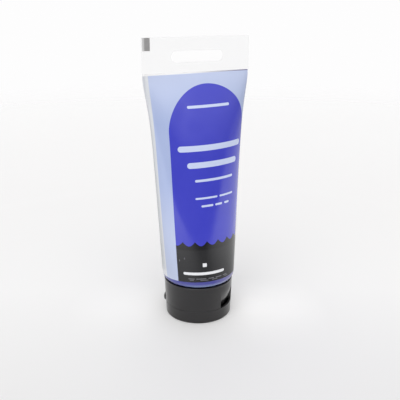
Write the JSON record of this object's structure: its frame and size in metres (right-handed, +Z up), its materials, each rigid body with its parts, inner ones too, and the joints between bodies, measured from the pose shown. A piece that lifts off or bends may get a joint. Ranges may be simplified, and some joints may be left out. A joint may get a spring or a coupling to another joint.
{
  "type": "paint tube",
  "caption": "Soft plastic paint tube with a flip-top screw cap it stands on and a flat clear end with a hang slot.",
  "frame": {"origin": "centre of the cap's flat outer face, where the tube stands", "axes": "+Z up along the tube towards its flat sealed end, -Y towards the printed front, X along the sealed end"},
  "size_m": [0.0626, 0.04, 0.1522],
  "materials": {
    "printed_film": "glossy printed soft plastic",
    "clear_film": "clear welded film",
    "wet_paint": "thick wet acrylic paint",
    "neck_plastic": "natural moulded plastic",
    "seal_foam": "soft foamed plastic",
    "cap_plastic": "satin black moulded plastic"
  },
  "bodies": {
    "tube": {"tube_sleeve": "printed_film", "end_flag": "clear_film", "paint_fill": "wet_paint", "tube_head": "neck_plastic"},
    "seal": {"sealing_ring": "seal_foam"},
    "cap": {"cap_base": "cap_plastic"},
    "strap": {"hinge_strap": "cap_plastic"},
    "lid": {"cap_lid": "cap_plastic"}
  },
  "joints": [
    {"name": "cap_lift", "type": "slide", "parent": "tube", "child": "seal", "axis": [0, 0, -1], "range_m": [0, 0.0045]},
    {"name": "cap_turn", "type": "hinge", "parent": "seal", "child": "cap", "pos_m": [0, 0, 0.01], "axis": [0, 0, -1], "range_deg": [0, 540]},
    {"name": "strap_fold", "type": "hinge", "parent": "cap", "child": "strap", "pos_m": [-0.01054, 0.01563, 0.0086], "axis": [0.829, 0.5592, 0], "range_deg": [0, 75]},
    {"name": "lid_flip", "type": "hinge", "parent": "strap", "child": "lid", "pos_m": [-0.01045, 0.0155, 0.0048], "axis": [0.829, 0.5592, 0], "range_deg": [0, 75]}
  ],
  "couplings": [
    {"joint": "cap_lift", "follows": "cap_turn", "m_per_rad": 0.00047746},
    {"joint": "strap_fold", "follows": "lid_flip", "ratio": 1}
  ]
}
